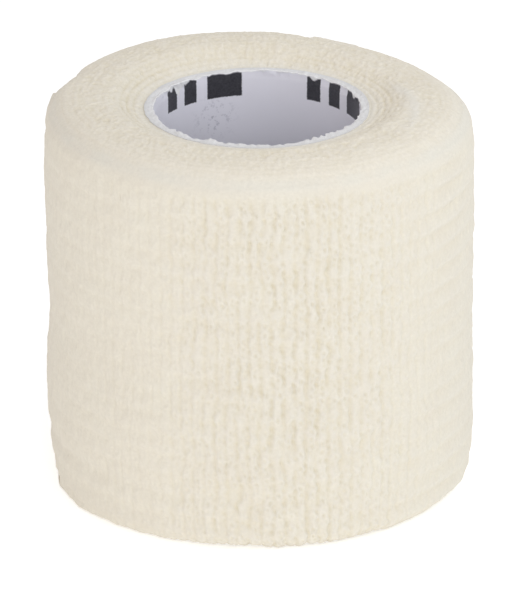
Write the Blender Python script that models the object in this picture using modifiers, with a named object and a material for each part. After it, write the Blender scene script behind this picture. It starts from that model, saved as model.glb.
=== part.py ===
"""Cohesive bandage roll: crinkled elastic cloth wound on a paper core, standing on one end.

Metres, +Z up. The origin is the middle of the roll's footprint, on the surface it stands on.
The seen side faces -Y, and the cloth's free end lies along the back, at +Y.
"""

import math

import bmesh
import bpy
import numpy as np

MM = 0.001
FULL_TURN = 2 * math.pi

# Driving dimensions
CLOTH_WIDTH = 50 * MM  # also the core's length
ROLL_RADIUS = 27.35 * MM
LAYER = 0.7 * MM  # one turn of cloth
CORE_RADIUS = 14.1 * MM
CORE_WALL = 1.0 * MM
CORE_EDGE = 0.2 * MM  # bevel on the core's cut ends
FIT_GAP = 0.3 * MM  # between the core and the cloth's first turn

# The wound face: it rises from the core to a crest, then falls over the shoulder to the side
CREST_RADIUS = 19.5 * MM
SHOULDER_DROP = 6.0 * MM
BORE_EDGE = 0.4 * MM  # bevel where the first turn meets the face

# The elastic threads that run round the cloth draw its side in, and it swells between them
RIB_PITCH = 2.65 * MM
RIB_SWELL = 0.07 * MM

# The free end: a cut edge that stands a layer proud of the turn below it
END_ANGLE = math.radians(73)
END_SLOPE = math.radians(0.9)  # the angle over which the step falls

# How the section changes round the roll. Angle 0 is the right side and 90 the back.
# crest_mm is the crest's height above the core, fullness the squareness of the shoulder
# (2 is an ellipse), and foot_mm the radius of the foot.
SECTION_COLUMNS = ("angle_deg", "crest_mm", "fullness", "foot_mm")
SECTION_ROWS = (
    (0, 1.45, 2.75, 2.7),
    (30, 1.05, 2.65, 2.6),
    (60, 1.30, 2.70, 2.4),
    (90, 1.85, 2.90, 2.2),
    (120, 2.10, 3.15, 2.4),
    (150, 1.85, 3.40, 2.8),
    (180, 1.65, 3.60, 3.0),
    (210, 1.60, 3.40, 1.6),
    (240, 1.60, 3.20, 1.5),
    (270, 1.60, 3.00, 1.8),
    (300, 1.60, 2.90, 2.1),
    (330, 1.55, 2.80, 2.4),
    (360, 1.45, 2.75, 2.7),
)

# How far the side stands off the plain spiral, at the left and at the right, up the roll
SIDE_COLUMNS = ("height_mm", "left_mm", "right_mm")
SIDE_ROWS = (
    (0, -0.60, -0.05),
    (8, -0.20, 0.30),
    (16, 0.10, 0.30),
    (24, -0.35, 0.25),
    (32, -0.05, 0.22),
    (40, 0.15, 0.15),
    (52, -0.05, 0.00),
)

# Points along each stretch of the section, and sections round the roll
BORE_POINTS = 2
DISH_POINTS = 5
SHOULDER_POINTS = 9
POINTS_PER_RIB = 2
FOOT_POINTS = 5
TURN_SECTIONS = 72
CORE_SIDES = 60
SHARP_ANGLE = math.radians(40)


def read_table(rows, columns, at_name, name, at):
    """A column of a table at each place, level at its rows and easing from one to the next."""
    places = np.array([row[columns.index(at_name)] for row in rows], float)
    values = np.array([row[columns.index(name)] for row in rows], float)
    row = np.clip(np.searchsorted(places, at, side="right") - 1, 0, len(places) - 2)
    share = np.clip((at - places[row]) / (places[row + 1] - places[row]), 0, 1)
    return values[row] + (values[row + 1] - values[row]) * ease(share)


def ease(share):
    return share * share * (3 - 2 * share)


def round_the_roll(angles, name):
    degrees = np.mod(np.degrees(angles), 360)
    return read_table(SECTION_ROWS, SECTION_COLUMNS, "angle_deg", name, degrees)


def up_the_side(heights, name):
    return read_table(SIDE_ROWS, SIDE_COLUMNS, "height_mm", name, heights / MM) * MM


def crest_height(angles):
    return CLOTH_WIDTH + round_the_roll(angles, "crest_mm") * MM


def foot_radius(angles):
    return round_the_roll(angles, "foot_mm") * MM


def spiral_offset(angles):
    """The outside of a spiral about its mean: it gains a layer a turn and falls back at the free end."""
    turn = np.mod(angles - END_ANGLE, FULL_TURN)
    climb = LAYER * turn / FULL_TURN
    fall = LAYER * np.clip(1 - turn / END_SLOPE, 0, 1)
    return climb + fall - LAYER / 2


def side_radius(angles, heights):
    """The side's radius: the spiral, its bow at the left and the right, and the ribs between threads."""
    left = up_the_side(heights, "left_mm")
    right = up_the_side(heights, "right_mm")
    rightness = (1 + np.cos(angles)) / 2
    ribs = RIB_SWELL * np.cos(FULL_TURN * (heights - CLOTH_WIDTH / 2) / RIB_PITCH)
    return ROLL_RADIUS + spiral_offset(angles) + left + (right - left) * rightness + ribs


def bore_stretch(angles):
    """Up the first turn, from the foot to just below the face."""
    heights = np.linspace(0, CLOTH_WIDTH - BORE_EDGE, BORE_POINTS)[:, None] + 0 * angles
    return np.full_like(heights, CORE_RADIUS + FIT_GAP), heights


def dish_stretch(angles):
    """Out over the wound face, from the core up to the crest, as an eased rise."""
    share = np.linspace(0, 1, DISH_POINTS, endpoint=False)[:, None] + 0 * angles
    inner = CORE_RADIUS + FIT_GAP + BORE_EDGE
    radii = inner + (CREST_RADIUS - inner) * share
    return radii, CLOTH_WIDTH + (crest_height(angles) - CLOTH_WIDTH) * ease(share)


def shoulder_stretch(angles):
    """From the crest down to the side, as a quarter of a superellipse."""
    quarter = np.linspace(0, math.pi / 2, SHOULDER_POINTS, endpoint=False)[:, None]
    power = 2 / round_the_roll(angles, "fullness")
    heights = crest_height(angles) - SHOULDER_DROP * (1 - np.cos(quarter) ** power)
    reach = side_radius(angles, heights) - CREST_RADIUS
    return CREST_RADIUS + reach * np.sin(quarter) ** power, heights


def side_stretch(angles):
    """Down the side, with its points on the crests and the troughs of the ribs."""
    top = crest_height(angles).min() - SHOULDER_DROP
    bottom = foot_radius(angles).max()
    step = RIB_PITCH / POINTS_PER_RIB
    middle = CLOTH_WIDTH / 2
    above = math.floor((top - middle) / step)
    below = math.floor((middle - bottom) / step)
    heights = middle + step * np.arange(above, -below - 1, -1)[:, None] + 0 * angles
    return side_radius(angles, heights), heights


def foot_stretch(angles):
    """Round the foot, as a quarter circle, on to the flat that the roll stands on."""
    quarter = np.linspace(0, math.pi / 2, FOOT_POINTS)[:, None]
    foot = foot_radius(angles)
    heights = foot * (1 - np.sin(quarter))
    return side_radius(angles, heights) - foot * (1 - np.cos(quarter)), heights


def section_angles():
    """Even steps round the roll, and one more section at the bottom of the free end's step."""
    even = END_ANGLE + FULL_TURN * np.arange(TURN_SECTIONS) / TURN_SECTIONS
    return np.insert(even, 1, END_ANGLE + END_SLOPE)


def wound_cloth(name):
    """A loft between the unlike sections round the roll, closed on itself."""
    angles = section_angles()
    stretches = [
        stretch(angles)
        for stretch in (bore_stretch, dish_stretch, shoulder_stretch, side_stretch, foot_stretch)
    ]
    radii = np.vstack([radius for radius, _ in stretches])
    heights = np.vstack([height for _, height in stretches])
    points = np.stack([radii * np.cos(angles), radii * np.sin(angles), heights], axis=-1)
    index = np.arange(radii.size).reshape(radii.shape)
    onward = np.roll(index, -1, axis=0)
    corners = (index, onward, np.roll(onward, -1, axis=1), np.roll(index, -1, axis=1))
    faces = np.stack(corners, axis=-1).reshape(-1, 4)
    mesh = bpy.data.meshes.new(name)
    mesh.from_pydata(points.reshape(-1, 3).tolist(), [], faces.tolist())
    mesh.update()
    return bpy.data.objects.new(name, mesh)


def paper_core(name):
    """An open cylinder with its wall grown inwards and its cut ends a little bevelled."""
    shell = bmesh.new()
    bmesh.ops.create_cone(
        shell,
        cap_ends=False,
        segments=CORE_SIDES,
        radius1=CORE_RADIUS,
        radius2=CORE_RADIUS,
        depth=CLOTH_WIDTH,
    )
    bmesh.ops.recalc_face_normals(shell, faces=shell.faces)
    bmesh.ops.translate(shell, verts=shell.verts, vec=(0, 0, CLOTH_WIDTH / 2))
    mesh = bpy.data.meshes.new(name)
    shell.to_mesh(mesh)
    shell.free()
    tube = bpy.data.objects.new(name, mesh)
    wall = tube.modifiers.new("wall", "SOLIDIFY")
    wall.thickness = CORE_WALL
    wall.offset = -1
    edge = tube.modifiers.new("cut ends", "BEVEL")
    edge.width = CORE_EDGE
    edge.segments = 1
    edge.limit_method = "ANGLE"
    return tube


def centre_on_footprint(parts, widest):
    """Moves the parts together, so that the origin is in the middle of the widest one's box."""
    corners = np.array([vertex.co for vertex in widest.data.vertices])
    middle = (corners.min(axis=0) + corners.max(axis=0)) / 2
    for part in parts:
        part.location.x = -float(middle[0])
        part.location.y = -float(middle[1])


def matt(name, colour, roughness):
    material = bpy.data.materials.new(name)
    material.use_nodes = True
    shader = material.node_tree.nodes["Principled BSDF"]
    shader.inputs["Base Color"].default_value = (*colour, 1)
    shader.inputs["Roughness"].default_value = roughness
    shader.inputs["Metallic"].default_value = 0
    return material


def main():
    for old in list(bpy.data.objects):
        bpy.data.objects.remove(old, do_unlink=True)
    collection = bpy.data.collections.new("cohesive_bandage_roll")
    bpy.context.scene.collection.children.link(collection)

    cloth = wound_cloth("wound_bandage")
    cloth.data.materials.append(matt("cream crinkled cloth", (0.80, 0.74, 0.62), 0.9))
    core = paper_core("core_tube")
    core.data.materials.append(matt("white core paper", (0.72, 0.71, 0.72), 0.7))
    for part in (cloth, core):
        collection.objects.link(part)
        part.data.shade_smooth()
        part.data.set_sharp_from_angle(angle=SHARP_ANGLE)
    centre_on_footprint((cloth, core), cloth)


main()
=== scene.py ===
"""A cohesive bandage roll: crinkled cream cloth, wound on a white paper core with a torn rim.

Metres, +Z up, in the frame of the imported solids. The seen side faces -Y. The tables' lengths are
in millimetres. Angles go round the core's axis: 0 is the right side and 90 degrees the back.
"""

import math

import bpy
import numpy as np
from bpy.props import FloatProperty, FloatVectorProperty, IntProperty, PointerProperty
from bpy.types import Operator, Panel, PropertyGroup
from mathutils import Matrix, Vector


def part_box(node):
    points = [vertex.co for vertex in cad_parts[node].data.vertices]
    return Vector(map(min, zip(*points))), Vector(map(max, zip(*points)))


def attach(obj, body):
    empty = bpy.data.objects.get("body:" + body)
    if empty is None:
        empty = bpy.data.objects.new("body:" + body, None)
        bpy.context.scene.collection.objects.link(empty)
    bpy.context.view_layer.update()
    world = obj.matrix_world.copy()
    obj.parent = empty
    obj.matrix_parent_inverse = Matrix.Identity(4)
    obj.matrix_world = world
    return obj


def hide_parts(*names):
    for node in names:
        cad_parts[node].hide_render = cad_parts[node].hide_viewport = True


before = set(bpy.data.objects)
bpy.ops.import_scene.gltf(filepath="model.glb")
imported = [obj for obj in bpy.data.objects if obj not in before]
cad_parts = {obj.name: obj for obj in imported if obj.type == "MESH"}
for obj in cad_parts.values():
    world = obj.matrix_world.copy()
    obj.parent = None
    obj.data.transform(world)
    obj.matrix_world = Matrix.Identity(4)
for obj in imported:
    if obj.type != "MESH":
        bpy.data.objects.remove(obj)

bl_info = {
    "name": "Cohesive Bandage Roll",
    "version": (1, 0, 0),
    "blender": (4, 5, 0),
    "location": "3D View > Sidebar > Bandage Roll",
    "description": "Dresses the roll's solids with crinkled cloth, a torn paper core and a pale studio",
    "category": "Add Mesh",
}

MM = 0.001
FULL_TURN = 2 * math.pi

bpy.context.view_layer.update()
CORE_LOW, CORE_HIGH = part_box("core_tube")
AXIS = (CORE_LOW + CORE_HIGH) / 2
CORE_RADIUS = (CORE_HIGH.x - CORE_LOW.x) / 2
CORE_LENGTH = CORE_HIGH.z - CORE_LOW.z

# The folds, the noise round the roll and the dents have their real size at this radius
NOISE_RADIUS = 27.35 * MM

# The free end: a cut edge that stands a layer proud of the turn below it
END_ANGLE = math.radians(73)
END_SLOPE = math.radians(0.18)

# The section round the roll. crest_mm is the crest's height above the core, fullness the
# squareness of the shoulder (2 is an ellipse), and foot_mm the radius of the foot.
SECTION_COLUMNS = ("angle_deg", "crest_mm", "fullness", "foot_mm")
SECTION_ROWS = (
    (0, 1.45, 2.88, 2.7),
    (30, 1.02, 2.72, 2.6),
    (60, 1.28, 2.70, 2.4),
    (90, 1.90, 2.90, 2.2),
    (120, 2.05, 3.15, 2.4),
    (150, 1.85, 3.40, 2.0),
    (180, 1.65, 3.60, 1.2),
    (194, 1.60, 3.50, 0.4),
    (208, 1.60, 3.40, 0.6),
    (226, 1.60, 3.30, 1.5),
    (240, 1.60, 3.20, 2.0),
    (270, 1.60, 3.00, 2.3),
    (300, 1.60, 2.90, 2.4),
    (330, 1.55, 2.85, 2.5),
    (360, 1.45, 2.88, 2.7),
)

# How far the side stands off the plain spiral, at the left and at the right, up the roll
SIDE_COLUMNS = ("height_mm", "left_mm", "right_mm")
SIDE_ROWS = (
    (0, -0.45, -0.05),
    (3.5, -0.45, 0.10),
    (5.5, -0.28, 0.20),
    (7.2, -0.40, 0.28),
    (9.6, 0.02, 0.32),
    (16, 0.10, 0.30),
    (24, -0.35, 0.25),
    (32, -0.05, 0.22),
    (40, 0.15, 0.15),
    (52, -0.05, 0.00),
)

# How deep the crinkles and how high the ribs are round the roll, where the cloth was stretched
# more or less
CRINKLE_COLUMNS = ("angle_deg", "strength", "ribs")
CRINKLE_ROWS = (
    (0, 0.12, 0.5),
    (40, 0.50, 0.8),
    (80, 0.80, 0.8),
    (130, 0.50, 0.6),
    (170, 0.08, 0.25),
    (190, 0.08, 0.25),
    (208, 0.10, 0.45),
    (238, 0.28, 0.50),
    (256, 0.80, 0.62),
    (285, 1.05, 0.70),
    (303, 0.82, 0.74),
    (320, 0.36, 1.3),
    (332, 0.15, 2.0),
    (348, 0.12, 0.8),
    (360, 0.12, 0.5),
)

# The sideways wander of the folds, as size_mm, and how far apart it changes, round_mm and up_mm
SWAY_ROWS = (
    (0.32, 6.0, 4.5),
    (0.16, 2.1, 2.0),
    (0.14, 1.0, 0.9),
)

# The pits between the folds: fine ones in columns half a fold apart, larger ones in each fold's
# hollow, and a few deep and long. spacing is in folds, and width and tallness in shares of a cell.
# tint is how much of the hollow colour a pit gets: partly the cloth's own warmer tone, partly
# painted shade in the pit.
PIT_COLUMNS = ("spacing", "share", "shift", "power", "width", "tallness", "depth", "tint")
PIT_ROWS = (
    (0.5, 1.00, 0.18, 0.7, 0.26, 0.30, 0.35, 0.72),
    (1.0, 1.00, 0.12, 0.8, 0.16, 0.46, 0.13, 0.28),
    (1.0, 0.28, 0.12, 0.4, 0.185, 0.80, 0.18, 0.46),
)

# The side's slow unevenness and its finest grain: share of the full height, and the size of a lump,
# round_mm and up_mm
SWELL_ROWS = (
    (1.0, 12.0, 7.0),
    (0.5, 4.0, 3.0),
)
GRAIN_ROWS = (
    (0.5, 0.44, 0.44),
    (1.3, 0.90, 0.90),
    (1.1, 1.50, 1.50),
)

# The felt on the cut edges: share of the full height, and the width of a tuft in millimetres
FELT_ROWS = (
    (0.25, 1.4),
    (0.5, 0.65),
    (1.0, 0.42),
    (1.1, 0.29),
)

# Short pinches in the side, where a thread pulls the cloth in: angle_deg, height_mm, the reach
# round_mm and up_mm, and depth_mm
PINCH_ROWS = (
    (2, 32.4, 4.5, 0.55, 0.26),
    (-3, 27.0, 4.5, 0.55, 0.24),
    (4, 22.7, 5.0, 0.60, 0.22),
    (0, 3.0, 4.0, 0.70, 0.22),
    (176, 47.2, 5.0, 0.50, 0.25),
    (160, 31.0, 6.0, 0.60, 0.18),
    (150, 14.0, 5.0, 0.60, 0.20),
    (105, 36.5, 5.0, 0.55, 0.22),
    (60, 18.0, 5.0, 0.60, 0.20),
)

# The lower edges of the two outermost turns: their heights, and how far the turn below is drawn in
LOWER_EDGE_COLUMNS = ("angle_deg", "outer_mm", "outer_step_mm", "second_mm", "second_step_mm")
LOWER_EDGE_ROWS = (
    (0, 0.8, 0.10, 0.0, 0.00),
    (120, 1.0, 0.10, 0.0, 0.00),
    (155, 3.6, 0.25, 1.4, 0.15),
    (180, 4.8, 0.40, 1.9, 0.36),
    (190, 3.8, 0.32, 1.8, 0.38),
    (195, 3.2, 0.25, 1.2, 0.10),
    (202, 2.2, 0.25, 0.6, 0.20),
    (210, 1.4, 0.20, 0.0, 0.00),
    (228, 0.5, 0.10, 0.0, 0.00),
    (320, 0.6, 0.05, 0.0, 0.00),
    (360, 0.8, 0.10, 0.0, 0.00),
)

# The shoulder round the roll: ledge_mm is how far the outermost turn's upper edge stands off the
# turn inside it, and sag_mm how far the shoulder is pressed in
SHOULDER_COLUMNS = ("angle_deg", "ledge_mm", "sag_mm")
SHOULDER_ROWS = (
    (0, 0.05, 0.05),
    (35, 0.05, 0.12),
    (50, 0.08, 0.22),
    (57.5, 0.08, 0.28),
    (59.5, 0.08, -0.06),
    (72.5, 0.08, -0.10),
    (74.5, 0.10, 0.26),
    (78, 0.08, 0.00),
    (140, 0.08, 0.00),
    (151, 0.08, 0.05),
    (155.0, 0.10, 0.62),
    (157.0, 0.10, 0.42),
    (162, 0.10, 0.26),
    (167.4, 0.15, 0.10),
    (168.6, 0.20, 0.26),
    (170.2, 0.30, -0.20),
    (174, 0.20, -0.12),
    (181, 0.10, 0.05),
    (190, 0.08, 0.12),
    (215, 0.06, 0.05),
    (250, 0.03, 0.00),
    (330, 0.03, 0.00),
    (360, 0.05, 0.05),
)

# How far the core's rim is pressed out over the cloth's first turn, round the roll
RIM_COLUMNS = ("angle_deg", "flare_mm")
RIM_ROWS = (
    (0, 0.06),
    (30, 0.28),
    (60, 0.16),
    (90, 0.10),
    (120, 0.12),
    (150, 0.38),
    (180, 0.34),
    (210, 0.36),
    (240, 0.36),
    (270, 0.28),
    (300, 0.28),
    (330, 0.26),
    (360, 0.06),
)

# Torn places in the core's rim: angle_deg and width_mm, how far each leans in, reach_mm, how far it
# stands up, rise_mm, and how far down the inside its white fibres show, down_mm
TEAR_ROWS = (
    (134.5, 0.50, 0.05, 0.06, 0.40),
    (140.5, 0.70, 0.05, 0.10, 1.20),
    (147.5, 0.50, 0.04, 0.06, 0.40),
    (86.5, 0.55, 0.05, 0.26, 0.15),
    (57.0, 0.50, 0.12, 0.03, 0.50),
    (21.0, 0.60, 0.15, 0.00, 0.45),
    (194.0, 0.80, 0.18, 0.00, 0.20),
    (216.5, 0.45, 0.25, 0.12, 0.30),
    (223.0, 0.35, 0.25, 0.16, 0.30),
    (227.5, 0.45, 0.20, 0.10, 0.30),
    (243.0, 0.70, 0.40, 0.36, 0.40),
    (297.0, 0.45, 0.30, 0.12, 0.20),
    (303.0, 0.40, 0.30, 0.14, 0.20),
    (308.0, 0.32, 0.25, 0.12, 0.20),
    (313.5, 0.50, 0.34, 0.16, 0.20),
    (320.5, 0.50, 0.32, 0.14, 0.20),
    (327.0, 0.55, 0.32, 0.14, 0.20),
)

# Radii on the wound face, from the outer to the inner, between which the lines between turns grow
# deeper, the cloth grows paler with paper dust, and the felt grows to its full height
LINES_DEEPEN = (18.4 * MM, 16.6 * MM)
DUST_GROWS = (16.6 * MM, 14.2 * MM)
FELT_GROWS = (25.0 * MM, 22.0 * MM)

# A pale smooth crease over the wound face at the right: its radius there, how much it grows with
# each degree towards the front, and its reach round the roll and across
CREASE_RADIUS = 19.3 * MM
CREASE_DRIFT = 0.085 * MM
CREASE_REACH_DEG = 24
CREASE_MIDDLE_DEG = -6
CREASE_WIDTH = 0.95 * MM

# Plain printed dashes inside the core: (start, end) as shares of a quarter turn
PRINT_DASHES = ((0.10, 0.33), (0.41, 0.51), (0.58, 0.68))

# Painted shade: the tube's inside is painted darker down to this depth, where less light reaches it,
# down to a share of its tone. A few faint specks lie in one place of it: their stretches round the
# tube, as shares of a turn, and up it, as shares of its length
SHADE_DEPTH = 13 * MM
SHADE_SHARE = 0.74
SPECK_AROUND = (0.27, 0.37)
SPECK_UP = (0.80, 0.96)
SPECK_TONE = (0.25, 0.25, 0.32)

# Painted shade on the torn paper: it grows darker outwards between these radii, down to a share of its tone
RIM_SHADE_FROM = 13.7 * MM
RIM_SHADE_TO = 14.6 * MM
RIM_SHADE_SHARE = 0.90

# Points round the whole cloth and the core, and along each stretch of their sections
CLOTH_STEPS_ROUND = 1080
CORE_STEPS_ROUND = 960
BORE_STEPS = 3
LIP_STEPS = 5
DISH_STEPS = 30
SHOULDER_STEPS = 48
EDGE_STEPS = 20
SIDE_STEPS = 216
FOOT_STEPS = 18
BASE_STEPS = 24
RIM_STEPS = 4
TOP_STEPS = 7
TORN_STEPS = 22
PLAIN_STEPS = 14

# The core's rows lie close together this far down from its rim, its outside bends out from the
# second depth up, and its rim's outer edge is rounded by no more than this
TORN_DEPTH = 3 * MM
FLARE_DEPTH = 1 * MM
CRISP_EDGE = 0.04 * MM

# How far the cloth's surface reaches into the bore at either end, where the paper hides it
BORE_REACH = 6 * MM

# The outer wraps: each one's first angle in degrees, and how far round each reaches
WRAPS = (("wrap_front", 210), ("wrap_right", 330), ("wrap_left", 90))
WRAP_REACH_DEG = 120

# Corners of the hidden walls that close the shells of cloth from behind: radius and height in
# millimetres. Shells that meet share theirs.
UPPER_CORNER = (23.5, 47.0)
LOWER_CORNER = (22.5, 1.6)
FACE_CORNER = (20.0, 44.0)
BASE_CORNER = (20.0, 6.0)

# The floor: its rings, how far it lies below the roll, and the radii between which its glow
# starts, so that the bottom of the bore stays dim
FLOOR_RINGS = (0.0001, 0.05, 0.1, 0.2, 0.4, 0.8, 1.6, 3.0)
FLOOR_SIDES = 64
FLOOR_GAP = 0.05 * MM
GLOW_RADII = (13.5 * MM, 14.5 * MM)

# Each light's name, the setting that gives its power, and its place in metres. Its size is a share
# of how far away it stands, and all of them aim at one point.
LIGHTS = (
    ("key", "key_power", (-0.04, -1.10, 0.65)),
    ("fill", "fill_power", (0.105, -0.03, 0.16)),
    ("left_fill", "left_power", (-0.33, -0.10, 0.17)),
)
LIGHT_SHARE = 0.4
LIGHT_AIM = (0, 0, 0.025)

# The attributes that the cloth's material reads. hollow is painted shade in the pits, the lines
# between turns and the crevice, partly the cloth's own warmer tone; cut_face picks the cut edges'
# paler colour, partly painted light.
CLOTH_MASKS = ("hollow", "cut_face", "pale")

# Sockets of a Mix node that mixes colours
MIX_FACTOR, MIX_A, MIX_B, MIX_RESULT = 0, 6, 7, 2


# ---------------------------------------------------------------- sizes and colours


def length(name, description, millimetres, lowest=0.0):
    """A length property: its default and lowest value are given in millimetres."""
    return FloatProperty(
        name=name,
        description=description,
        default=millimetres * MM,
        min=lowest * MM,
        unit="LENGTH",
        subtype="DISTANCE",
        precision=5,
    )


def share(name, description, value, highest=1.0):
    return FloatProperty(name=name, description=description, default=value, min=0.0, max=highest)


def colour(name, description, value):
    return FloatVectorProperty(
        name=name,
        description=description,
        default=value,
        min=0.0,
        max=1.0,
        size=3,
        subtype="COLOR",
    )


def power(name, description, watts):
    return FloatProperty(name=name, description=description, default=watts, min=0.0, unit="POWER")


class BandageClothSizes(PropertyGroup):
    """The wound cloth."""

    roll_radius: length("Roll radius", "Mean outside radius of the wound cloth", 27.26)
    layer: length("Layer", "Thickness of one turn of cloth", 0.7)
    bore_radius: length("Bore radius", "Inside radius of the first turn", 14.10)
    bore_edge: length("Bore edge", "Rounding where the first turn meets the face", 0.06)
    crest_radius: length("Crest radius", "Radius of the wound face's highest ring", 19.5)
    shoulder_drop: length("Shoulder drop", "Height from the crest to the straight side", 6.0)
    rib_pitch: length("Rib pitch", "Height from one elastic thread to the next", 2.72)
    rib_crest: length("Rib crest", "Height of one of the crests between threads", 2.30)
    rib_swell: length("Rib swell", "How far the cloth stands out between threads", 0.14)


class BandageReliefSizes(PropertyGroup):
    """The cloth's crinkles and the wound face's grain."""

    fold_pitch: length("Fold pitch", "Distance from fold to fold round the roll", 1.49)
    pit_pitch: length("Pit pitch", "Distance from pit to pit up a fold", 0.97)
    crinkle: share("Crinkle", "Depth of the crinkles against those of the tables", 1.25, 4.0)
    fold_depth: length("Fold depth", "Depth of the long upright hollows", 0.22)
    swell: length("Swell", "Height of the slow unevenness of the side", 0.08)
    grain: length("Grain", "Height of the cloth's finest unevenness", 0.045)
    turn_groove: length("Turn groove", "Depth of the line between two turns' cut edges", 0.13)
    felt: length("Felt", "Height of the felted grain on the wound face", 0.060)
    seed: IntProperty(name="Seed", description="Start of the random draws", default=7, min=0)


class BandageClothColours(PropertyGroup):
    """The cloth's colours."""

    ridge: colour("Ridge", "Cream of the cloth's raised ridges", (0.742, 0.702, 0.622))
    # Partly the cloth's own warmer tone in its pits, and partly painted shade: the hollow mask mixes it
    # into the pits, over the threads, into the lines between turns and into the crevice by the core.
    hollow: colour("Hollow", "Warmer tone at the bottom of the pits", (0.703, 0.642, 0.503))
    # Partly the felt's own tone and partly painted light: the cut edges are paler than the ridges, which
    # lightens the wound face on top.
    cut_edge: colour("Cut edge", "Tone of the felted cut edges", (0.785, 0.737, 0.647))
    # Painted cool sheen: this tint is multiplied into a patchy band along the outermost turn's upper edge
    fuzz: colour("Fuzz", "Cooler tint along the outermost turn's upper edge", (0.972, 0.986, 1.0))
    paper_dust: colour("Paper dust", "Paler tone by the core and of the crease", (0.765, 0.75, 0.715))
    sheen: share("Sheen", "Fuzz of the cloth's loose fibres", 0.10)


class BandagePaper(PropertyGroup):
    """The paper core."""

    wall: length("Core wall", "Thickness of the paper tube", 1.0)
    edge: length("Core edge", "Rounding of the cut ends", 0.12)
    burr: length("Burr", "Raggedness of the torn rim", 0.24)
    print_height: length("Print height", "How far the printed dashes reach below the rim", 3.3)
    inside: colour("Inside", "Lavender grey of the tube's inner face", (0.845, 0.84, 0.918))
    torn: colour("Torn", "White of the torn fibres", (0.748, 0.748, 0.762))
    # Painted light: the torn fibres inside the rim get a brighter white than those on top, though they
    # stand in the tube's shade.
    lit_inner_fibres: colour("Fresh", "Brighter white of the fibres inside the rim", (0.88, 0.88, 0.895))
    ink: colour("Ink", "Print inside the tube", (0.012, 0.012, 0.018))


class BandageStage(PropertyGroup):
    """Floor, light and camera."""

    distance: FloatProperty(
        name="Distance",
        description="Camera to the middle of the roll",
        default=1.0,
        min=0.2,
        unit="LENGTH",
    )
    elevation: FloatProperty(
        name="Elevation",
        description="Camera above the horizon",
        default=math.radians(22.243),
        subtype="ANGLE",
    )
    lens: FloatProperty(name="Lens", description="Focal length in millimetres", default=467.5)
    aim_right: length("Aim right", "Aim point to the right of the core's axis", 0.533, -50)
    aim_down: length("Aim down", "Aim point below the roll's middle", 1.380, -50)
    sky: share("Sky", "Strength of the white surroundings", 0.776, 10)
    key_power: power("Key", "Front light in watts", 3.6)
    fill_power: power("Fill", "Close light above the right in watts", 0.036)
    left_power: power("Left fill", "Low light at the left in watts", 0.034)
    floor: colour("Floor", "Pale floor", (0.90, 0.90, 0.90))
    floor_glow: share("Floor glow", "Light that the floor adds by itself", 0.37, 10)
    dim_side: colour("Dim side", "Tint of the surroundings at the left", (0.635, 0.565, 0.52))
    cool_side: colour("Cool side", "Tint of the surroundings at the right", (0.92, 0.955, 0.985))


class BandageRoll(PropertyGroup):
    """Everything that a user would change."""

    cloth: PointerProperty(type=BandageClothSizes)
    relief: PointerProperty(type=BandageReliefSizes)
    tones: PointerProperty(type=BandageClothColours)
    paper: PointerProperty(type=BandagePaper)
    stage: PointerProperty(type=BandageStage)


# ---------------------------------------------------------------- tables and noise


def ease(part):
    """3t^2 - 2t^3: level at 0 and at 1."""
    return part * part * (3 - 2 * part)


def step(value, start, end):
    """0 before start, 1 after end, eased between; end may be below start."""
    return ease(np.clip((value - start) / (end - start), 0, 1))


def read_table(rows, columns, at_name, name, at):
    """A column of a table at each place, level at its rows and easing from one to the next."""
    places = np.array([row[columns.index(at_name)] for row in rows], float)
    values = np.array([row[columns.index(name)] for row in rows], float)
    row = np.clip(np.searchsorted(places, at, side="right") - 1, 0, len(places) - 2)
    part = np.clip((at - places[row]) / (places[row + 1] - places[row]), 0, 1)
    return values[row] + (values[row + 1] - values[row]) * ease(part)


def round_the_roll(rows, columns, name, angles):
    """A column of a table whose rows are angles in degrees."""
    return read_table(rows, columns, "angle_deg", name, np.mod(np.degrees(angles), 360))


def lattice_noise(across, along, seed, around=256):
    """Random heights from -1 to 1 at whole-number places, eased between; it repeats after `around`."""
    tall = 256
    table = np.random.default_rng(seed).uniform(-1, 1, (around, tall))
    column = np.floor(across).astype(int)
    row = np.floor(along).astype(int)
    right = ease(across - column)
    above = ease(along - row)
    total = 0
    for over, over_share in ((0, 1 - right), (1, right)):
        for up, up_share in ((0, 1 - above), (1, above)):
            total = total + table[(column + over) % around, (row + up) % tall] * over_share * up_share
    return total


def ring_noise(angles, heights, cell_round, cell_up, seed):
    """Lattice noise wrapped round the roll, with whole cells of about the sizes given, in metres."""
    around = max(3, round(FULL_TURN * NOISE_RADIUS / cell_round))
    return lattice_noise(angles / FULL_TURN * around, heights / cell_up, seed, around)


def angle_away(angles, degrees):
    """Each angle's distance from one given in degrees, from minus to plus half a turn."""
    return np.mod(angles - math.radians(degrees) + math.pi, FULL_TURN) - math.pi


# ---------------------------------------------------------------- the cloth's plain shape


def spiral_offset(cloth, turns):
    """The outside of a spiral about its mean: it gains a layer a turn and falls back at the free end."""
    climb = cloth.layer * turns / FULL_TURN
    fall = cloth.layer * np.clip(1 - turns / END_SLOPE, 0, 1)
    return climb + fall - cloth.layer / 2


def side_radius(cloth, turns, angles, heights):
    """The side's radius: the spiral, and its bow at the left and the right."""
    left = read_table(SIDE_ROWS, SIDE_COLUMNS, "height_mm", "left_mm", heights / MM) * MM
    right = read_table(SIDE_ROWS, SIDE_COLUMNS, "height_mm", "right_mm", heights / MM) * MM
    rightness = (1 + np.cos(angles)) / 2
    return cloth.roll_radius + spiral_offset(cloth, turns) + left + (right - left) * rightness


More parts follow.
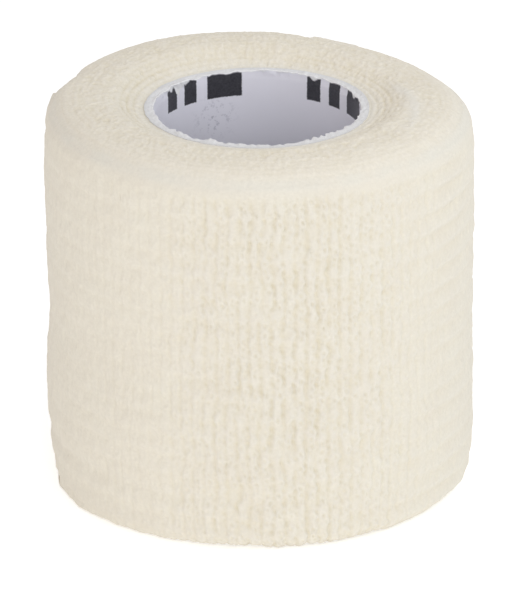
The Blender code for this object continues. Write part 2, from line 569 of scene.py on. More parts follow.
class ClothSection:
    """The section at every column round the roll, as stretches of rows.

    It runs up the bore, out over the dished face to the crest, down the shoulder to the outermost
    turn's edge, on down the side, round the foot and in along the flat that the roll stands on.
    """

    def __init__(self, cloth):
        self.cloth = cloth
        even = FULL_TURN * np.arange(CLOTH_STEPS_ROUND) / CLOTH_STEPS_ROUND
        self.turns = np.insert(even, 1, END_SLOPE)
        self.angles = END_ANGLE + self.turns
        self.crest = CORE_LENGTH + MM * self.table("crest_mm")
        self.fullness = self.table("fullness")
        self.foot = MM * self.table("foot_mm")
        self.first_row = {}
        radii, heights = [], []
        count = 0
        for name, stretch in (
            ("bore", self.bore),
            ("lip", self.lip),
            ("dish", self.dish),
            ("shoulder", self.shoulder),
            ("edge", self.edge),
            ("side", self.side),
            ("foot", self.round_foot),
            ("base", self.base),
            ("base_lip", self.base_lip),
            ("end", self.end),
        ):
            radius, height = stretch()
            self.first_row[name] = count
            count += len(radius)
            radii.append(radius)
            heights.append(height)
        self.radii = np.vstack(radii)
        self.heights = np.vstack(heights)

    def table(self, name):
        return round_the_roll(SECTION_ROWS, SECTION_COLUMNS, name, self.angles)

    def rows(self, count, start=0.0, end=1.0, closed=False):
        """Shares from start to end down the rows, alike at every column."""
        return np.linspace(start, end, count, endpoint=closed)[:, None] + 0 * self.angles

    def bore(self):
        """Straight up the first turn."""
        up = self.rows(BORE_STEPS)
        low = CORE_LENGTH - BORE_REACH
        high = CORE_LENGTH - self.cloth.bore_edge
        return self.cloth.bore_radius + 0 * up, low + (high - low) * up

    def lip(self):
        """A quarter circle from the bore on to the face."""
        quarter = self.rows(LIP_STEPS, 0, math.pi / 2)
        edge = self.cloth.bore_edge
        radii = self.cloth.bore_radius + edge * (1 - np.cos(quarter))
        return radii, CORE_LENGTH - edge * (1 - np.sin(quarter))

    def dish(self):
        """An eased rise from the core to the crest."""
        out = self.rows(DISH_STEPS)
        inner = self.cloth.bore_radius + self.cloth.bore_edge
        radii = inner + (self.cloth.crest_radius - inner) * out
        return radii, CORE_LENGTH + (self.crest - CORE_LENGTH) * ease(out)

    def superellipse(self, quarter):
        """The shoulder at polar angle q from the vertical: reach sin q / n and drop cos q / n,
        where n = (sin^f q + cos^f q)^(1/f) and f is the fullness."""
        sine, cosine = np.sin(quarter), np.cos(quarter)
        scale = (sine**self.fullness + cosine**self.fullness) ** (-1 / self.fullness)
        heights = self.crest - self.cloth.shoulder_drop * (1 - cosine * scale)
        reach = side_radius(self.cloth, self.turns, self.angles, heights) - self.cloth.crest_radius
        return self.cloth.crest_radius + reach * sine * scale, heights

    def edge_angle(self):
        """The polar angle where the shoulder is one layer inside the side: the outermost turn's edge."""
        side = side_radius(self.cloth, self.turns, self.angles, self.crest)
        across = 1 - self.cloth.layer / (side - self.cloth.crest_radius)
        down = (1 - across**self.fullness) ** (1 / self.fullness)
        return np.arctan2(across, down)

    def shoulder(self):
        """The superellipse from the crest down to the outermost turn's edge."""
        return self.superellipse(self.edge_angle() * self.rows(SHOULDER_STEPS))

    def edge(self):
        """The rest of the superellipse, which is the outermost turn bending over."""
        part = self.rows(EDGE_STEPS)
        start = self.edge_angle()
        return self.superellipse(start + (math.pi / 2 - start) * part)

    def side(self):
        """Down the side, from the end of the shoulder to the start of the foot."""
        part = self.rows(SIDE_STEPS)
        top = self.crest - self.cloth.shoulder_drop
        heights = top + (self.foot - top) * part
        return side_radius(self.cloth, self.turns, self.angles, heights), heights

    def round_foot(self):
        """A quarter circle on to the surface."""
        quarter = self.rows(FOOT_STEPS, 0, math.pi / 2)
        heights = self.foot * (1 - np.sin(quarter))
        radii = side_radius(self.cloth, self.turns, self.angles, heights)
        return radii - self.foot * (1 - np.cos(quarter)), heights

    def base(self):
        """Straight in along the surface, from the foot to the bore."""
        part = self.rows(BASE_STEPS)
        outer = side_radius(self.cloth, self.turns, self.angles, 0 * self.foot) - self.foot
        inner = self.cloth.bore_radius + self.cloth.bore_edge
        return outer + (inner - outer) * part, 0 * part

    def base_lip(self):
        """A quarter circle from the surface into the bore."""
        quarter = self.rows(LIP_STEPS, 0, math.pi / 2)
        edge = self.cloth.bore_edge
        return self.cloth.bore_radius + edge * (1 - np.sin(quarter)), edge * (1 - np.cos(quarter))

    def end(self):
        """Straight up the first turn from its lower end."""
        up = self.rows(BORE_STEPS, closed=True)
        low = self.cloth.bore_edge
        return self.cloth.bore_radius + 0 * up, low + (BORE_REACH - low) * up


# ---------------------------------------------------------------- the cloth's relief


def folds_around(relief):
    """How many folds go round the roll: an even number, so that neighbours can take turns."""
    return 2 * round(FULL_TURN * NOISE_RADIUS / relief.fold_pitch / 2)


def crinkle_places(angles, heights, relief):
    """Where each point lies in the net of crinkles, counted in folds round the roll and pits up it.

    Noise of the sway table's sizes shifts the folds sideways. Slower noise shifts the pits up and
    down. Then neighbouring folds lean together and apart in turns, by cos(pi x) cos(pi y).
    """
    across = angles / FULL_TURN * folds_around(relief)
    for size_mm, round_mm, up_mm in SWAY_ROWS:
        noise = ring_noise(angles, heights, round_mm * MM, up_mm * MM, relief.seed + int(10 * round_mm))
        across = across + size_mm * MM / relief.fold_pitch * noise
    along = heights / relief.pit_pitch
    along = along + 0.30 * ring_noise(angles, heights, 4 * MM, 6 * MM, relief.seed + 2)
    along = along + 0.20 * ring_noise(angles, heights, 1.6 * MM, 2.5 * MM, relief.seed + 1)
    return across + 0.08 * np.cos(math.pi * across) * np.cos(math.pi * along), along


def pit_field(across, along, around, row, seed):
    """One row of the pit table: pits in columns, every other one half a pit higher, from 0 between
    them to about 1 in the deepest.

    Each pit is exp(-(across / width)^2 - (along / tallness)^2) about a centre that is shifted at
    random in its cell. Its depth is a random number to the table's power, and only the table's
    share of the cells has one. Whatever the spacing, one column lies at a quarter of a fold.
    """
    pit = dict(zip(PIT_COLUMNS, row))
    across = (across + (pit["spacing"] - 0.5) / 2) / pit["spacing"]
    around = round(around / pit["spacing"])
    tall = 128
    draws = np.random.default_rng(seed)
    shift_round = draws.uniform(-pit["shift"], pit["shift"], (around, tall))
    shift_up = draws.uniform(-pit["shift"], pit["shift"], (around, tall))
    depth = draws.uniform(0, 1, (around, tall)) ** pit["power"]
    depth = depth * (draws.uniform(0, 1, (around, tall)) < pit["share"])
    total = 0
    for column_step in (-1, 0, 1):
        column = np.floor(across).astype(int) + column_step
        stagger = 0.5 * (column % 2)
        for row_step in (-1, 0, 1):
            level = np.floor(along - stagger).astype(int) + row_step
            cell = (column % around, level % tall)
            aside = across - (column + 0.5 + shift_round[cell])
            above = along - (level + 0.5 + stagger + shift_up[cell])
            bell = np.exp(-((aside / pit["width"]) ** 2) - (above / pit["tallness"]) ** 2)
            total = total + depth[cell] * bell
    return np.minimum(total, 1.15)


def rounded_off(value, limit):
    """limit (1 - exp(-value / limit)): it follows small values and never passes the limit."""
    return limit * (1 - np.exp(-value / limit))


def crinkle_net(angles, heights, relief):
    """Depth and tint of the crinkles: the long upright hollows and the pits of the whole table.

    With u growing by a turn each fold from a quarter of it, a hollow is a + b cos u + c cos 2u less
    two noises, one drawn out up the roll and one of small knots, and never below 0. The sums are
    rounded off, so that crossing pits don't make holes.
    """
    across, along = crinkle_places(angles, heights, relief)
    around = folds_around(relief)
    long_folds = lattice_noise(2 * across, heights / (1.3 * MM), relief.seed + 40, 2 * around)
    knots = ring_noise(angles, heights, 0.45 * MM, 1.1 * MM, relief.seed + 41)
    turned = FULL_TURN * (across - 0.25)
    wave = 0.28 * np.cos(turned) + 0.03 * np.cos(2 * turned)
    folds = np.clip(0.36 + wave - 0.60 * long_folds - 0.25 * knots, 0, 1.2)
    depth = relief.fold_depth * folds
    # The tint is painted shade in the hollows, with some of the cloth's own warmer tone there
    tint = 0.32 * folds
    for number, row in enumerate(PIT_ROWS):
        pits = pit_field(across, along, around, row, relief.seed + 3 + number)
        depth = depth + row[PIT_COLUMNS.index("depth")] * MM * pits
        tint = tint + row[PIT_COLUMNS.index("tint")] * pits
    return relief.crinkle * rounded_off(depth, 0.55 * MM), relief.crinkle * rounded_off(tint, 1.1)


def crinkle_strength(angles, heights, relief):
    """The table's strength round the roll, with softer and harder patches a few millimetres wide."""
    strength = round_the_roll(CRINKLE_ROWS, CRINKLE_COLUMNS, "strength", angles)
    patches = ring_noise(angles, heights, 7 * MM, 9 * MM, relief.seed + 20)
    fine_patches = ring_noise(angles, heights, 3 * MM, 5 * MM, relief.seed + 21)
    return strength * (1 + 0.08 * patches + 0.08 * fine_patches)


def rib_wave(cloth, angles, heights):
    """The ribs that run round the roll, from -1 over a thread to 1 on a crest: cos(p + 0.6 cos p),
    where p grows by a turn each pitch, so that each rib rises slowly and falls fast."""
    wobble = 0.08 * ring_noise(angles, heights, 9 * MM, 3 * MM, 91) + 0.10 * np.cos(angles)
    phase = FULL_TURN * ((heights - cloth.rib_crest) / cloth.rib_pitch + wobble)
    return np.cos(phase + 0.6 * np.cos(phase))


def rib_strength(angles, heights):
    """The table's strength of the ribs round the roll, with patches."""
    strength = round_the_roll(CRINKLE_ROWS, CRINKLE_COLUMNS, "ribs", angles)
    return strength * (1 + 0.4 * ring_noise(angles, heights, 8 * MM, 4 * MM, 92))


def pinch_relief(angles, heights):
    """Small dents from the pinch table, each depth exp(-across^2 - along^2)."""
    total = 0
    for angle_deg, height_mm, round_mm, up_mm, depth_mm in PINCH_ROWS:
        across = angle_away(angles, angle_deg) * NOISE_RADIUS / (round_mm * MM)
        along = (heights / MM - height_mm) / up_mm
        total = total - depth_mm * MM * np.exp(-(across**2) - along**2)
    return total


def lower_edge_relief(angles, heights):
    """Steps at the lower edges of the two outermost turns: what lies below an edge is drawn in. The
    lowest two millimetres are ragged, with noise of two sizes round the roll."""
    total = 0
    for turn in ("outer", "second"):
        edge = round_the_roll(LOWER_EDGE_ROWS, LOWER_EDGE_COLUMNS, turn + "_mm", angles) * MM
        depth = round_the_roll(LOWER_EDGE_ROWS, LOWER_EDGE_COLUMNS, turn + "_step_mm", angles) * MM
        edge = edge + 0.30 * MM * ring_noise(angles, 0 * angles, 3 * MM, 9 * MM, 31)
        total = total - depth * step(heights - edge, 0.25 * MM, -0.25 * MM)
    ragged = ring_noise(angles, 0 * angles, 1.5 * MM, 9 * MM, 34)
    ragged = ragged + ring_noise(angles, 0 * angles, 3.3 * MM, 9 * MM, 35)
    return total + 0.10 * MM * ragged * step(heights, 2.2 * MM, 0.2 * MM)


def upper_edge_relief(angles, above):
    """The shoulder's ledge and sag at a distance above the outermost turn's edge: the ledge is proud
    below the edge and drawn in above it, and the sag is a wide hollow about it."""
    ledge = round_the_roll(SHOULDER_ROWS, SHOULDER_COLUMNS, "ledge_mm", angles) * MM
    sag = round_the_roll(SHOULDER_ROWS, SHOULDER_COLUMNS, "sag_mm", angles) * MM
    place = above - 0.35 * MM * ring_noise(angles, 0 * angles, 5 * MM, 9 * MM, 33)
    near = np.exp(-((place / (1.1 * MM)) ** 2))
    hollow = np.exp(-(((above - 0.8 * MM) / (2.4 * MM)) ** 2))
    return ledge * (0.4 - step(place, -0.14 * MM, 0.14 * MM)) * near - sag * hollow


def turn_phase(cloth, outer, radii):
    """How many turns lie outside a radius; the inner turns are wound a little looser."""
    depth = (outer - radii) / cloth.layer
    whole = (cloth.roll_radius - cloth.bore_radius) / cloth.layer
    return depth - 0.09 * depth * depth / whole


def turn_lines(cloth, section, radii, waver):
    """The lines between the turns' cut edges, exp(-(away / width)^2) with 1 in each line, and how
    high each turn stands, from -1 to 1."""
    outer = side_radius(cloth, section.turns, section.angles, section.crest)
    phase = turn_phase(cloth, outer, radii) + waver
    place = phase - np.floor(phase)
    line = np.exp(-((np.minimum(place, 1 - place) / 0.17) ** 2))
    turn = np.floor(phase).astype(int)
    unevenness = lattice_noise(section.angles / FULL_TURN * 9 + 0 * radii, turn * 1.0, 41, 9)
    return line, unevenness


def face_crease(angles, radii):
    """The pale crease, exp(-across^2 - around^4): a bell across a radius that drifts with the angle,
    and a flatter one round the roll."""
    degrees = np.degrees(angle_away(angles, 0))
    across = (radii - CREASE_RADIUS + CREASE_DRIFT * degrees) / CREASE_WIDTH
    around = (degrees - CREASE_MIDDLE_DEG) / CREASE_REACH_DEG
    return np.exp(-(across**2) - around**4)


def along_the_cloth(section):
    """Height along the cloth: the true height on the side, carried on round the bends."""
    steps = np.hypot(np.diff(section.radii, axis=0), np.diff(section.heights, axis=0))
    travelled = np.vstack([0 * section.radii[:1], np.cumsum(steps, axis=0)])
    side_top = section.first_row["side"]
    return section.heights[side_top] - (travelled - travelled[side_top])


def side_relief(roll, angles, unrolled, edge_height):
    """The side's crinkles, ribs, slow swells and grain, and how deep in a hollow each point looks.

    The crinkles fade out below the outermost turn's edge and are a little softer at the foot. The
    hollow mask is painted shade, with some of the cloth's own warmer tone in its pits: it is darker
    in the pits, an even quarter where the cloth is less crinkled, and lighter on the ribs' crests.
    """
    cloth, relief = roll.cloth, roll.relief
    strength = crinkle_strength(angles, unrolled, relief)
    strength = strength * (1 - 0.10 * step(unrolled, 3.0 * MM, 0.5 * MM))
    strength = strength * step(unrolled, edge_height - 0.4 * MM, edge_height - 3.0 * MM)
    depth, tint = crinkle_net(angles, unrolled, relief)
    ribs = rib_wave(cloth, angles, unrolled)
    rib_share = rib_strength(angles, unrolled)
    side = cloth.rib_swell * rib_share * 0.5 * (ribs - 0.6) - depth * strength
    for part, round_mm, up_mm in SWELL_ROWS:
        noise = ring_noise(angles, unrolled, round_mm * MM, up_mm * MM, relief.seed + int(round_mm))
        side = side + part * relief.swell * (noise - 0.5)
    for part, round_mm, up_mm in GRAIN_ROWS:
        noise = ring_noise(angles, unrolled, round_mm * MM, up_mm * MM, relief.seed + 32)
        side = side + part * relief.grain * noise
    # Painted shade: darker in the pits and over the threads, lighter on the ribs' crests
    hollow = tint * strength + 0.25 * (1 - np.clip(strength, 0, 1)) - 0.08 * rib_share * ribs
    return side, np.clip(hollow, 0, 1)


def felt_relief(relief, across, along, radii):
    """The felt on the cut edges: noise of the felt table's sizes, drawn out along Y, and flatter
    towards the shoulder."""
    felt = 0
    for part, tuft_mm in FELT_ROWS:
        tuft = tuft_mm * MM
        noise = lattice_noise(across / tuft, along / (1.6 * tuft), int(tuft_mm * 100))
        felt = felt + relief.felt * part * (noise - 0.3)
    return felt * (0.35 + 0.65 * step(radii, *FELT_GROWS))


def face_relief(roll, section, angles):
    """The face's felt, the lines between its turns, its crease and the crevice at the core's rim, and
    two masks: how deep in a hollow each point looks, and how pale it is.

    The lines are deepest by the core, at the left and the right. The face is plain under the rim's
    flare, with a crevice just outside it. The first mask is painted shade: darker in the lines between
    turns and in the crevice, and lighter where the felt stands high.
    """
    cloth, relief = roll.cloth, roll.relief
    radii = section.radii
    across, along = radii * np.cos(angles), radii * np.sin(angles)
    waver = 0.20 * lattice_noise(across / (7 * MM), along / (7 * MM), 51)
    line, unevenness = turn_lines(cloth, section, radii, waver)
    near_core = step(radii, *LINES_DEEPEN) * (0.15 + 0.85 * np.cos(angles) ** 2)
    patchy = 0.5 + 0.5 * lattice_noise(across / (3.5 * MM) + 40, along / (3.5 * MM), 52)
    line_depth = relief.turn_groove * (0.08 + 0.85 * near_core + 0.20 * patchy)
    felt = felt_relief(relief, across, along, radii)
    crease = face_crease(angles, radii)
    face = felt * (1 - 0.5 * crease) - line_depth * line + 0.05 * MM * unevenness + 0.10 * MM * crease
    rim = CORE_RADIUS + round_the_roll(RIM_ROWS, RIM_COLUMNS, "flare_mm", angles) * MM
    face = face * step(radii, rim + 0.1 * MM, rim + 0.7 * MM)
    crevice = np.exp(-(((radii - rim - 0.16 * MM) / (0.17 * MM)) ** 2)) * np.cos(angles) ** 4
    face = face - 0.14 * MM * crevice - 0.05 * MM * step(radii, rim + 0.5 * MM, rim)
    # Painted shade in the lines between turns and in the crevice, and painted light where the felt stands
    # high
    hollow = 0.5 * line * (0.35 + 1.2 * near_core) - 0.25 * felt / relief.felt + 0.8 * crevice
    pale = np.maximum(0.45 * step(radii, *DUST_GROWS), 0.5 * crease)
    return face, np.clip(hollow, 0, 1), pale


def cloth_relief(roll, section):
    """How far each point stands off the plain shape, along the section's normal, and the masks that
    the cloth's colours follow, in the order of their names."""
    angles = section.angles + 0 * section.radii
    unrolled = along_the_cloth(section)
    edge_height = unrolled[section.first_row["edge"]]
    below_edge = step(unrolled, edge_height + 0.3 * MM, edge_height - 1.6 * MM)
    on_base = step(unrolled, -1.6 * MM, -4.0 * MM)
    on_side = below_edge * (1 - on_base)
    on_face = step(unrolled, edge_height - 0.8 * MM, edge_height + 2.2 * MM)
    cut_edges = np.maximum(on_face, on_base)

    side, side_shade_and_tone = side_relief(roll, angles, unrolled, edge_height)
    face, face_shade_and_tone, pale = face_relief(roll, section, angles)
    total = side * on_side + face * cut_edges
    total = total + pinch_relief(angles, section.heights) * below_edge
    total = total + lower_edge_relief(angles, unrolled) * (1 - on_base)
    total = total + upper_edge_relief(angles, unrolled - edge_height)
    # Painted shade of the side's pits and ribs and of the face's lines and crevice, partly the cloth's
    # warmer tone
    hollow = np.maximum(side_shade_and_tone * on_side, face_shade_and_tone * cut_edges)
    tone = np.maximum(step(unrolled, edge_height - 2.0 * MM, edge_height + 3.5 * MM), on_base)
    return total, (hollow, tone, cut_edges * pale)


def cloth_surface(roll):
    """The cloth's whole outside, rows down and columns round: its section, points and masks.

    The points are moved along the section's normal by the relief, but neither below the floor nor
    into the paper. The cut end wanders a little, and the columns near it with it.
    """
    section = ClothSection(roll.cloth)
    relief, masks = cloth_relief(roll, section)
    radii, heights = section.radii, section.heights
    along = np.gradient(radii, axis=0), np.gradient(heights, axis=0)
    size = np.maximum(np.hypot(*along), 1e-9)
    radii = np.maximum(radii - relief * along[1] / size, roll.cloth.bore_radius - 0.01 * MM)
    heights = np.maximum(heights + relief * along[0] / size, 0)
    wander = 0
    for degrees, cell, seed in ((0.55, 9 * MM, 71), (0.16, 1.1 * MM, 72)):
        noise = lattice_noise(section.heights / cell, 0 * section.heights, seed)
        wander = wander + math.radians(degrees) * noise
    from_end = np.minimum(section.turns, FULL_TURN - section.turns)
    angles = section.angles + wander * step(from_end, math.radians(6), 0)
    return section, round_the_axis(radii, angles, heights), masks


# ---------------------------------------------------------------- meshes


def round_the_axis(radii, angles, heights):
    """Points (r cos a, r sin a, h) about the core's axis."""
    points = np.stack([radii * np.cos(angles), radii * np.sin(angles), heights], axis=-1)
    return points + np.array([AXIS.x, AXIS.y, 0])


def unit(vectors):
    """Each vector divided by its length."""
    return vectors / np.maximum(np.linalg.norm(vectors, axis=-1, keepdims=True), 1e-12)


def ring_normals(points):
    """Normals at the points of a grid that closes round its columns.

    A face's is the cross product of its diagonals, and a point's the sum of its faces'. The face
    behind column 0 is the cut end's step, which is left out, so that the step keeps its edge.
    """
    beyond = np.roll(points, -1, axis=1)
    faces = np.cross(beyond[1:] - points[:-1], beyond[:-1] - points[1:])
    faces[:, 0] = 0
    padded = np.pad(faces, ((1, 1), (0, 0), (0, 0)))
    down = padded[1:] + padded[:-1]
    return unit(down + np.roll(down, 1, axis=1))


def new_mesh(name, points, polygons, normals=None, attributes=None, corner_uv=None):
    """A mesh from arrays: polygons is a list of arrays, each of polygons with as many corners."""
    mesh = bpy.data.meshes.new(name)
    corners = np.concatenate([block.ravel() for block in polygons]).astype(np.int32)
    sizes = np.concatenate([np.full(len(block), block.shape[1]) for block in polygons])
    starts = np.concatenate([[0], np.cumsum(sizes)[:-1]]).astype(np.int32)
    mesh.vertices.add(len(points))
    mesh.vertices.foreach_set("co", points.astype(np.float32).ravel())
    mesh.loops.add(len(corners))
    mesh.loops.foreach_set("vertex_index", corners)
    mesh.polygons.add(len(sizes))
    mesh.polygons.foreach_set("loop_start", starts)
    for label, values in (attributes or {}).items():
        mesh.attributes.new(label, "FLOAT", "POINT").data.foreach_set("value", values.astype(np.float32))
    if corner_uv is not None:
        mesh.uv_layers.new(name="UVMap").data.foreach_set("uv", corner_uv.astype(np.float32).ravel())
    mesh.update(calc_edges=True)
    mesh.shade_smooth()
    if normals is not None:
        mesh.normals_split_custom_set(normals.tolist())
    return mesh


def grid_quads(index):
    """The quads of a grid of point numbers, rows down and columns to the left round the roll."""
    above, below = index[:-1], index[1:]
    corners = (above[:, :-1], below[:, :-1], below[:, 1:], above[:, 1:])
    return np.stack(corners, axis=-1).reshape(-1, 4)


def polygon_normals(points, polygons):
    """One normal for each corner: its polygon's, from the cross product of two of its diagonals."""
    blocks = []
    for block in polygons:
        count = block.shape[1]
        corner = points[block]
        if count == 4:
            normal = unit(np.cross(corner[:, 2] - corner[:, 0], corner[:, 3] - corner[:, 1]))
        else:
            normal = unit(np.sum(np.cross(corner, np.roll(corner, -1, axis=1)), axis=1))
        blocks.append(np.repeat(normal, count, axis=0))
    return np.concatenate(blocks)


def add_piece(context, name, mesh, material, replaced):
    """Links a finished mesh in place of a solid, as a piece that rides on the roll's only body."""
    piece = bpy.data.objects.new(name, mesh)
    context.collection.objects.link(piece)
    mesh.materials.append(material)
    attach(piece, "root")
    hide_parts(replaced)


def cloth_piece(name, surface, rows, columns, hidden, closed):
    """A shell cut from the cloth's surface and closed from behind.

    rows and columns are the numbers of those that it takes. hidden are the corners of the wall that
    closes it, as (radius, height) in millimetres, on the way back from the last row to the first.
    A shell that isn't closed round the roll gets one polygon at either end.
    """
    points, masks = surface[1:]
    picked = np.ix_(rows, columns)
    outer = points[picked]
    height, width = outer.shape[:2]
    index = np.arange(height * width).reshape(height, width)
    directions = outer[-1] - np.array([AXIS.x, AXIS.y, 0])
    directions[:, 2] = 0
    directions = unit(directions)
    walls = [directions * radius * MM + np.array([AXIS.x, AXIS.y, up * MM]) for radius, up in hidden]
    everything = np.concatenate([outer.reshape(-1, 3), *walls])
    wall_index = np.arange(height * width, len(everything)).reshape(-1, width)
    loop = np.stack([index[-1], *wall_index, index[0]])
    if closed:
        index = np.concatenate([index, index[:, :1]], axis=1)
        loop = np.concatenate([loop, loop[:, :1]], axis=1)
    quads = grid_quads(index)
    polygons = [quads, grid_quads(loop)]
    if not closed:
        start = np.concatenate([index[:, 0], wall_index[:, 0]])
        finish = np.concatenate([index[:, -1], wall_index[:, -1]])
        polygons += [start[None, ::-1], finish[None, :]]
    corner_normals = polygon_normals(everything, polygons)
    smooth = ring_normals(points)[picked].reshape(-1, 3)[quads.ravel()]
    is_step = np.repeat(np.tile(columns[: index.shape[1] - 1] == 0, height - 1), 4)
    smooth[is_step] = corner_normals[: len(smooth)][is_step]
    corner_normals[: len(smooth)] = smooth
    fill = np.zeros(wall_index.size)
    attributes = {
        label: np.concatenate([mask[picked].ravel(), fill]) for label, mask in zip(CLOTH_MASKS, masks)
    }
    return new_mesh(name, everything, polygons, corner_normals, attributes)


# ---------------------------------------------------------------- materials


class Field:
    """A socket's value. Python's operators on it add the Math nodes."""

    def __init__(self, nodes, socket):
        self.nodes = nodes
        self.socket = socket

    def maths(self, operation, *others):
        values = {place: value for place, value in enumerate((self, *others))}
        return self.nodes.add("ShaderNodeMath", {"operation": operation}, values)

    def flipped(self, operation, other):
        return self.nodes.add("ShaderNodeMath", {"operation": operation}, {0: other, 1: self})

    def __add__(self, other):
        return self.maths("ADD", other)

    def __sub__(self, other):
        return self.maths("SUBTRACT", other)

    def __mul__(self, other):
        return self.maths("MULTIPLY", other)

    def __pow__(self, other):
        return self.maths("POWER", other)

    def __rsub__(self, other):
        return self.flipped("SUBTRACT", other)

    __radd__ = __add__
    __rmul__ = __mul__

    def fraction(self):
        return self.maths("FRACT")

    def larger(self, other):
        return self.maths("MAXIMUM", other)

    def smooth_step(self, start, end):
        """0 before start, 1 after end, eased between."""
        settings = {"interpolation_type": "SMOOTHSTEP"}
        return self.nodes.add("ShaderNodeMapRange", settings, {0: self, 1: start, 2: end})


class Finish:
    """A new material or world and its nodes."""

    def __init__(self, data, shader):
        self.data = data
        data.use_nodes = True
        self.tree = data.node_tree
        self.shader = self.tree.nodes[shader]

    def add(self, kind, settings=None, values=None, output=0):
        """Adds a node: its settings first, then its sockets' values or links, by name or place."""
        node = self.tree.nodes.new(kind)
        for key, value in (settings or {}).items():
            setattr(node, key, value)
        for key, value in (values or {}).items():
            self.feed(node.inputs[key], value)
        return Field(self, node.outputs[output])

    def feed(self, socket, value):
        if isinstance(value, Field):
            self.tree.links.new(value.socket, socket)
        else:
            socket.default_value = value

    def place(self):
        """Object coordinates, in metres."""
        return self.add("ShaderNodeTexCoord", output="Object")

    def stretched(self, place, factors):
        """The coordinates times a factor on each axis."""
        return self.add("ShaderNodeVectorMath", {"operation": "MULTIPLY"}, {0: place, 1: factors})

    def noise(self, place, size, detail=2.0, roughness=0.5):
        """Noise from 0 to 1 whose lumps are about as far apart as size, in metres."""
        values = {"Vector": place, "Scale": 1 / size, "Detail": detail, "Roughness": roughness}
        return self.add("ShaderNodeTexNoise", None, values)

    def attribute(self, name):
        """One of the mesh's own attributes."""
        return self.add("ShaderNodeAttribute", {"attribute_name": name}, output="Fac")

    def split(self, place, axis):
        """One of the coordinates of a place: 0, 1 or 2."""
        return self.add("ShaderNodeSeparateXYZ", None, {0: place}, axis)

    def from_axis(self, place, centre):
        """How far a place is from the upright axis through the centre."""
        right = self.split(place, 0) - centre[0]
        back = self.split(place, 1) - centre[1]
        return (right * right + back * back) ** 0.5

    def mix(self, factor, first, second, blend="MIX"):
        """A colour mixed from two, each a colour or a link."""
        settings = {"data_type": "RGBA", "blend_type": blend}
        values = {MIX_FACTOR: factor, MIX_A: opaque(first), MIX_B: opaque(second)}
        return self.add("ShaderNodeMix", settings, values, MIX_RESULT)

    def grey(self, value):
        """A number as a grey colour."""
        return self.add("ShaderNodeCombineColor", None, {0: value, 1: value, 2: value})

    def bump(self, height, distance):
        """Bump that feeds the shader's normal: a height of 1 stands for the distance."""
        values = {"Height": height, "Distance": distance, "Strength": 1.0}
        self.feed(self.shader.inputs["Normal"], self.add("ShaderNodeBump", None, values))

    def set(self, name, value):
        """Gives one of the shader's sockets a value or a link."""
        self.feed(self.shader.inputs[name], value)


def new_finish(name):
    return Finish(bpy.data.materials.new(name), "Principled BSDF")


def opaque(value):
    """A colour with its alpha; a link stays as it is."""
    return value if isinstance(value, Field) else (*value, 1.0)


def cloth_finish(tones):
    """Matt nonwoven cloth: warmer in the pits, faintly mottled, with fine fibres in its bump."""
    finish = new_finish("crinkled cream cloth")
    place = finish.place()
    hollow = finish.attribute("hollow")
    cut_face = finish.attribute("cut_face")
    mottle = finish.noise(place, 5.0 * MM, 3.0)
    grain = finish.noise(place, 0.40 * MM, 2.0, 0.6)
    fibres = finish.noise(finish.stretched(place, (1.0, 1.0, 0.4)), 0.20 * MM, 3.0, 0.65)
    # The cut edges' paler colour is partly painted light on the wound face
    body = finish.mix(cut_face, tuple(tones.ridge), tuple(tones.cut_edge))
    # Painted shade, partly the cloth's own warmer tone: the hollow colour in the pits, lines and crevice
    body = finish.mix(hollow * 0.85, body, tuple(tones.hollow))
    # Painted cool sheen in a patchy band along the outermost turn's upper edge
    edge = cut_face.smooth_step(0.08, 0.30) * cut_face.smooth_step(0.80, 0.45)
    body = finish.mix(edge * mottle.smooth_step(0.3, 0.6), body, tuple(tones.fuzz), "MULTIPLY")
    body = finish.mix(finish.attribute("pale"), body, tuple(tones.paper_dust))
    level = 0.905 + mottle * 0.05 + grain * (0.14 + cut_face * 0.06)
    warm = finish.mix(mottle, (1.0, 0.992, 0.985), (0.99, 1.0, 1.0))
    body = finish.mix(1.0, body, finish.grey(level), "MULTIPLY")
    body = finish.mix(1.0, body, warm, "MULTIPLY")
    finish.set("Base Color", body)
    finish.set("Roughness", 0.92)
    finish.set("Specular IOR Level", 0.25)
    finish.set("Sheen Weight", tones.sheen)
    finish.set("Sheen Roughness", 0.5)
    height = fibres * 0.5 + grain * (0.6 + cut_face * 0.9)
    finish.bump(height, 0.05 * MM)
    return finish.data


def window(value, start, end):
    """1 in the middle of a stretch and 0 beyond its ends, as the product of two eased steps."""
    middle = (start + end) / 2
    return value.smooth_step(start, middle) * value.smooth_step(end, middle)


